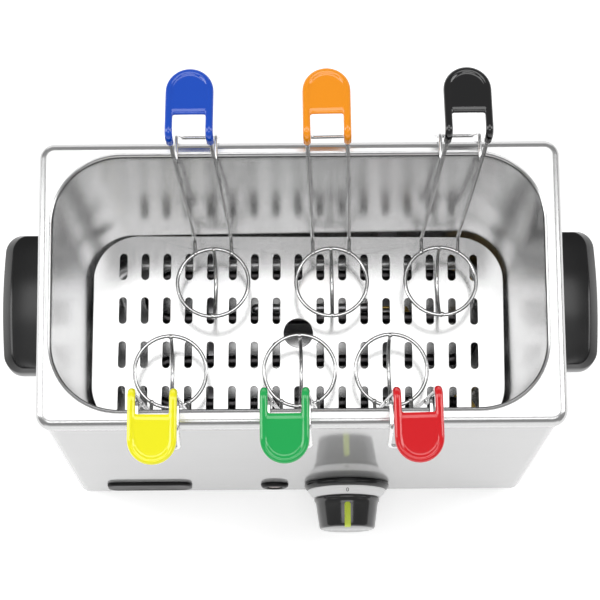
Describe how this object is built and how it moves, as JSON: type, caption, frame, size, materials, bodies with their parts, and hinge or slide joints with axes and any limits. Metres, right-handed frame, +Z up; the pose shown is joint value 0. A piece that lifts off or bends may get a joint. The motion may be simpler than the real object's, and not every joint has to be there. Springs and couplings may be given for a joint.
{
  "type": "egg boiler",
  "caption": "Table-top egg boiler: drawn steel water tank with a perforated false bottom, hanging wire egg holders with coloured grips, side handles and a thermostat knob.",
  "frame": {"origin": "middle of the footprint, on the surface that the rubber feet stand on", "axes": "+X to the right and -Y towards the user, seen from the front with the knob; +Z up"},
  "size_m": [0.38, 0.2428, 0.3541],
  "materials": {
    "housing_steel": "vertical satin brushing",
    "tank_steel": "drawn, bright satin",
    "plate_steel": "polished",
    "tube_steel": "heat-darkened",
    "wire_steel": "polished wire",
    "screw_steel": "plain",
    "brass": "turned",
    "rubber_black": "matt",
    "seal": "matt silicone",
    "insulator": "matt",
    "plastic_black": "gloss, fine texture",
    "plastic_grey": "satin",
    "knob_black": "satin gloss",
    "pointer_green": "matt",
    "lens_amber": "clear gloss",
    "lead_cover": "matt",
    "grip_blue": "soft gloss, dipped",
    "grip_orange": "soft gloss, dipped",
    "grip_black": "soft gloss, dipped",
    "grip_yellow": "soft gloss, dipped",
    "grip_green": "soft gloss, dipped",
    "grip_red": "soft gloss, dipped"
  },
  "bodies": {
    "housing": {"housing_shell": "housing_steel", "base_plate": "housing_steel", "base_screws": "screw_steel", "rubber_feet": "rubber_black", "foot_screws": "screw_steel", "tank": "tank_steel", "heating_element": "tube_steel", "element_supports": "screw_steel", "element_glands": "brass", "gland_seals": "seal", "gland_nuts": "brass", "element_pins": "screw_steel", "element_beads": "insulator", "sensor_bulb": "screw_steel", "capillary_tube": "brass", "bulb_clips": "screw_steel", "capillary_gland": "brass", "capillary_nut": "brass", "thermostat_body": "insulator", "thermostat_screws": "screw_steel", "overheat_cutout": "insulator", "cutout_bracket": "screw_steel", "terminal_block": "insulator", "terminal_screws": "screw_steel", "earth_stud": "brass", "earth_nut": "brass", "wiring": "lead_cover", "cable_gland": "plastic_black", "cable_gland_nut": "plastic_black", "lamp_body": "insulator", "lamp_bezel": "plastic_black", "lamp_lens": "lens_amber", "lamp_nut": "plastic_black", "front_badge": "plastic_black", "knob_collar": "plastic_black", "dial_ring": "plastic_grey", "handle_left": "plastic_black", "handle_right": "plastic_black", "handle_screws": "screw_steel", "handle_inserts": "brass"},
    "knob": {"thermostat_shaft": "screw_steel", "knob": "knob_black", "knob_pointer": "pointer_green"},
    "false_bottom": {"false_bottom": "plate_steel"},
    "holder_blue": {"holder_blue_frame": "wire_steel", "holder_blue_grip": "grip_blue"},
    "holder_orange": {"holder_orange_frame": "wire_steel", "holder_orange_grip": "grip_orange"},
    "holder_black": {"holder_black_frame": "wire_steel", "holder_black_grip": "grip_black"},
    "holder_yellow": {"holder_yellow_frame": "wire_steel", "holder_yellow_grip": "grip_yellow"},
    "holder_green": {"holder_green_frame": "wire_steel", "holder_green_grip": "grip_green"},
    "holder_red": {"holder_red_frame": "wire_steel", "holder_red_grip": "grip_red"}
  },
  "joints": [
    {"name": "knob_turn", "type": "hinge", "parent": "housing", "child": "knob", "pos_m": [0.033, -0.088, 0.0395], "axis": [0, -1, 0], "range_deg": [-300, 0]},
    {"name": "false_bottom_lift", "type": "slide", "parent": "housing", "child": "false_bottom", "axis": [0, 0, 1], "range_m": [0, 0.215]},
    {"name": "holder_blue_lift", "type": "slide", "parent": "false_bottom", "child": "holder_blue", "axis": [0, 0, 1], "range_m": [0, 0.2]},
    {"name": "holder_orange_lift", "type": "slide", "parent": "false_bottom", "child": "holder_orange", "axis": [0, 0, 1], "range_m": [0, 0.2]},
    {"name": "holder_black_lift", "type": "slide", "parent": "false_bottom", "child": "holder_black", "axis": [0, 0, 1], "range_m": [0, 0.2]},
    {"name": "holder_yellow_lift", "type": "slide", "parent": "false_bottom", "child": "holder_yellow", "axis": [0, 0, 1], "range_m": [0, 0.2]},
    {"name": "holder_green_lift", "type": "slide", "parent": "false_bottom", "child": "holder_green", "axis": [0, 0, 1], "range_m": [0, 0.2]},
    {"name": "holder_red_lift", "type": "slide", "parent": "false_bottom", "child": "holder_red", "axis": [0, 0, 1], "range_m": [0, 0.2]}
  ]
}
